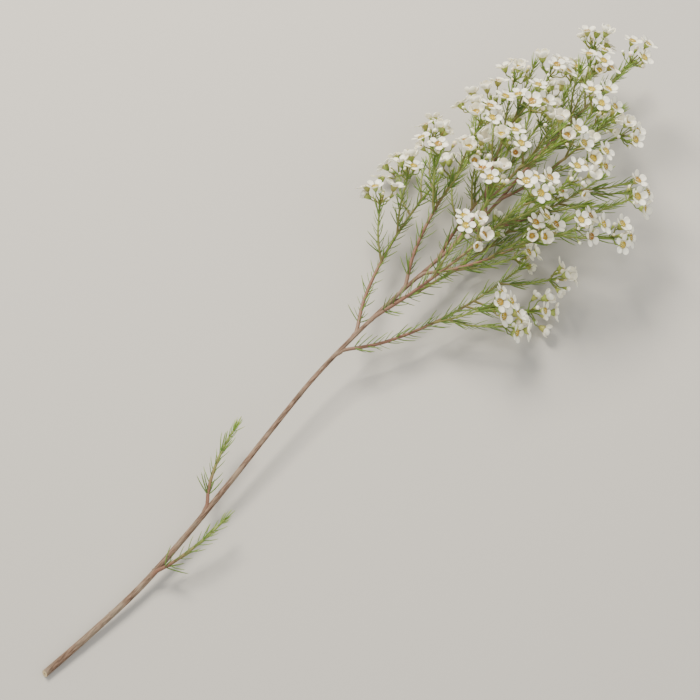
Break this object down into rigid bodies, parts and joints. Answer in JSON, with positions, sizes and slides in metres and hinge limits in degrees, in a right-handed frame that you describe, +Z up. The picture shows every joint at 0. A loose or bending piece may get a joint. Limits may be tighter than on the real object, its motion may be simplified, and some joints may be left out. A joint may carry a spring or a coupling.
{
  "type": "waxflower stem",
  "caption": "Cut stem of white waxflower lying on a surface: a slender woody stem with needle-leaved sprays and clusters of small five-petalled waxy flowers and round buds.",
  "frame": {"origin": "on the surface that the stem lies on, under the middle of its box", "axes": "+Y along the stem, from its cut end to its flowering tip; +Z up, away from the surface; +X to the right of someone who looks along +Y"},
  "size_m": [0.2074, 0.6758, 0.1205],
  "materials": {
    "bark": "matte",
    "leaf": "satin",
    "petal": "satin"
  },
  "bodies": {
    "root": {"flower_cluster_01": "petal", "flower_cluster_02": "petal", "flower_cluster_03": "petal", "flower_cluster_04": "petal", "flower_cluster_05": "petal", "flower_cluster_06": "petal", "flower_cluster_07": "petal", "flower_cluster_08": "petal", "flower_cluster_09": "petal", "flower_cluster_10": "petal", "flower_cluster_11": "petal", "flower_cluster_12": "petal", "flower_cluster_13": "petal", "flower_cluster_14": "petal", "flower_cluster_15": "petal", "flower_cluster_16": "petal", "flower_cluster_17": "petal", "flower_cluster_18": "petal", "flower_cluster_19": "petal", "flower_cluster_20": "petal", "flower_cluster_21": "petal", "flower_cluster_22": "petal", "flower_cluster_23": "petal", "flower_cluster_24": "petal", "flower_cluster_25": "petal", "flower_cluster_26": "petal", "flower_cluster_27": "petal", "flower_cluster_28": "petal", "flower_cluster_29": "petal", "flower_cluster_30": "petal", "flower_cluster_31": "petal", "flower_cluster_32": "petal", "flower_cluster_33": "petal", "flower_cluster_34": "petal", "flower_cluster_35": "petal", "flower_cluster_36": "petal", "flower_cluster_37": "petal", "flower_cluster_38": "petal", "flower_cluster_39": "petal", "flower_cluster_40": "petal", "flower_cluster_41": "petal", "flower_cluster_42": "petal", "flower_cluster_43": "petal", "leafy_spray_01": "leaf", "leafy_spray_02": "leaf", "leafy_spray_03": "leaf", "leafy_spray_04": "leaf", "leafy_spray_05": "leaf", "leafy_spray_06": "leaf", "leafy_spray_07": "leaf", "leafy_spray_08": "leaf", "leafy_spray_09": "leaf", "leafy_spray_10": "leaf", "leafy_spray_11": "leaf", "leafy_spray_12": "leaf", "lower_shoot_1": "leaf", "lower_shoot_2": "leaf", "main_stem": "bark", "top_spray": "leaf"}
  },
  "joints": []
}
